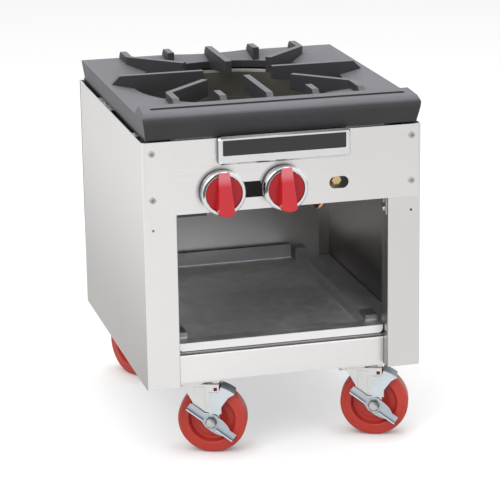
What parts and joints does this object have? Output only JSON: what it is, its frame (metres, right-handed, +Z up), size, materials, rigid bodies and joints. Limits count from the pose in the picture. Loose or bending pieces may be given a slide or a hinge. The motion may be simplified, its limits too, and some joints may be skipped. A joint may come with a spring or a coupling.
{
  "type": "stock pot range",
  "caption": "Gas stock pot range: open steel cabinet on swivel casters, cast grate over a ring burner, turning knobs and a slide-out drip tray.",
  "frame": {"origin": "on the floor under the middle of the cabinet", "axes": "+Z up, the front with the knobs faces -Y, +X to the user's right"},
  "size_m": [0.457, 0.5854, 0.5874],
  "materials": {
    "stainless": "satin",
    "galvanised": "dull",
    "cast_iron": "matte",
    "burner_iron": "matte",
    "black_pipe": "matte",
    "brass": "satin",
    "copper": "satin",
    "chrome": "polished",
    "dark_inset": "matte",
    "knob_red": "gloss",
    "fastener": "satin",
    "zinc": "satin",
    "wheel_red": "satin",
    "brake_zinc": "satin"
  },
  "bodies": {
    "cabinet": {"air_shutters": "galvanised", "base_deck": "galvanised", "bracket_screws": "fastener", "burner_bars": "galvanised", "burner_shroud": "galvanised", "caster_bolts": "fastener", "control_panel": "stainless", "front_left_caster_plate": "zinc", "front_right_caster_plate": "zinc", "inner_burner": "burner_iron", "inner_flange": "galvanised", "left_bezel": "chrome", "left_side_panel": "stainless", "left_valve": "brass", "lower_rail": "stainless", "manifold_pipe": "black_pipe", "nameplate_frame": "chrome", "nameplate_inset": "dark_inset", "orifice_hoods": "brass", "outer_burner": "burner_iron", "panel_bracket": "galvanised", "panel_screws": "fastener", "pilot_burner": "burner_iron", "pilot_tube": "copper", "pilot_valve": "brass", "pipe_clamp": "black_pipe", "rear_left_caster_plate": "zinc", "rear_panel": "stainless", "rear_right_caster_plate": "zinc", "right_bezel": "chrome", "right_side_panel": "stainless", "right_valve": "brass", "side_clips": "galvanised", "side_screws": "fastener", "supply_pipe": "black_pipe", "top_plate": "stainless"},
    "grate": {"grate": "cast_iron"},
    "drip_tray": {"drip_tray": "galvanised"},
    "left_knob": {"left_knob": "knob_red", "left_valve_stem": "brass"},
    "right_knob": {"right_knob": "knob_red", "right_valve_stem": "brass"},
    "front_left_swivel": {"front_left_fork": "zinc", "front_left_axle": "zinc"},
    "front_left_wheel": {"front_left_wheel": "wheel_red"},
    "front_left_brake_pedal": {"front_left_brake_pedal": "brake_zinc"},
    "front_left_brake_shoe": {"front_left_brake_shoe": "brake_zinc"},
    "front_right_swivel": {"front_right_fork": "zinc", "front_right_axle": "zinc"},
    "front_right_wheel": {"front_right_wheel": "wheel_red"},
    "front_right_brake_pedal": {"front_right_brake_pedal": "brake_zinc"},
    "front_right_brake_shoe": {"front_right_brake_shoe": "brake_zinc"},
    "rear_left_swivel": {"rear_left_fork": "zinc", "rear_left_axle": "zinc"},
    "rear_left_wheel": {"rear_left_wheel": "wheel_red"},
    "rear_right_swivel": {"rear_right_fork": "zinc", "rear_right_axle": "zinc"},
    "rear_right_wheel": {"rear_right_wheel": "wheel_red"}
  },
  "joints": [
    {"name": "grate_lift", "type": "slide", "parent": "cabinet", "child": "grate", "axis": [0, 0, 1], "range_m": [0, 0.15]},
    {"name": "tray_slide", "type": "slide", "parent": "cabinet", "child": "drip_tray", "axis": [0, -1, 0], "range_m": [0, 0.4]},
    {"name": "left_knob_turn", "type": "hinge", "parent": "cabinet", "child": "left_knob", "pos_m": [-0.1015, -0.26, 0.4515], "axis": [0, -1, 0], "range_deg": [0, 90]},
    {"name": "right_knob_turn", "type": "hinge", "parent": "cabinet", "child": "right_knob", "pos_m": [0, -0.26, 0.4515], "axis": [0, -1, 0], "range_deg": [0, 90]},
    {"name": "front_left_swivel", "type": "hinge", "parent": "cabinet", "child": "front_left_swivel", "pos_m": [-0.139, -0.188, 0.12], "axis": [0, 0, 1], "continuous": true},
    {"name": "front_left_roll", "type": "hinge", "parent": "front_left_swivel", "child": "front_left_wheel", "pos_m": [-0.10903, -0.19921, 0.0565], "axis": [0.3502, 0.9367, 0], "continuous": true},
    {"name": "front_left_pedal_press", "type": "hinge", "parent": "front_left_swivel", "child": "front_left_brake_pedal", "pos_m": [-0.10903, -0.19921, 0.0565], "axis": [0.3502, 0.9367, 0], "range_deg": [-25, 0]},
    {"name": "front_left_shoe_press", "type": "slide", "parent": "front_left_swivel", "child": "front_left_brake_shoe", "axis": [-0.4252, 0.159, -0.891], "range_m": [0, 0.0008]},
    {"name": "front_right_swivel", "type": "hinge", "parent": "cabinet", "child": "front_right_swivel", "pos_m": [0.139, -0.188, 0.12], "axis": [0, 0, 1], "continuous": true},
    {"name": "front_right_roll", "type": "hinge", "parent": "front_right_swivel", "child": "front_right_wheel", "pos_m": [0.16897, -0.19921, 0.0565], "axis": [0.3502, 0.9367, 0], "continuous": true},
    {"name": "front_right_pedal_press", "type": "hinge", "parent": "front_right_swivel", "child": "front_right_brake_pedal", "pos_m": [0.16897, -0.19921, 0.0565], "axis": [0.3502, 0.9367, 0], "range_deg": [-25, 0]},
    {"name": "front_right_shoe_press", "type": "slide", "parent": "front_right_swivel", "child": "front_right_brake_shoe", "axis": [-0.4252, 0.159, -0.891], "range_m": [0, 0.0008]},
    {"name": "rear_left_swivel", "type": "hinge", "parent": "cabinet", "child": "rear_left_swivel", "pos_m": [-0.139, 0.188, 0.12], "axis": [0, 0, 1], "continuous": true},
    {"name": "rear_left_roll", "type": "hinge", "parent": "rear_left_swivel", "child": "rear_left_wheel", "pos_m": [-0.1515, 0.21746, 0.0565], "axis": [-0.9205, -0.3907, 0], "continuous": true},
    {"name": "rear_right_swivel", "type": "hinge", "parent": "cabinet", "child": "rear_right_swivel", "pos_m": [0.139, 0.188, 0.12], "axis": [0, 0, 1], "continuous": true},
    {"name": "rear_right_roll", "type": "hinge", "parent": "rear_right_swivel", "child": "rear_right_wheel", "pos_m": [0.1265, 0.21746, 0.0565], "axis": [-0.9205, -0.3907, 0], "continuous": true}
  ],
  "couplings": [
    {"joint": "front_left_shoe_press", "follows": "front_left_pedal_press", "m_per_rad": -0.0018335},
    {"joint": "front_right_shoe_press", "follows": "front_right_pedal_press", "m_per_rad": -0.0018335}
  ]
}
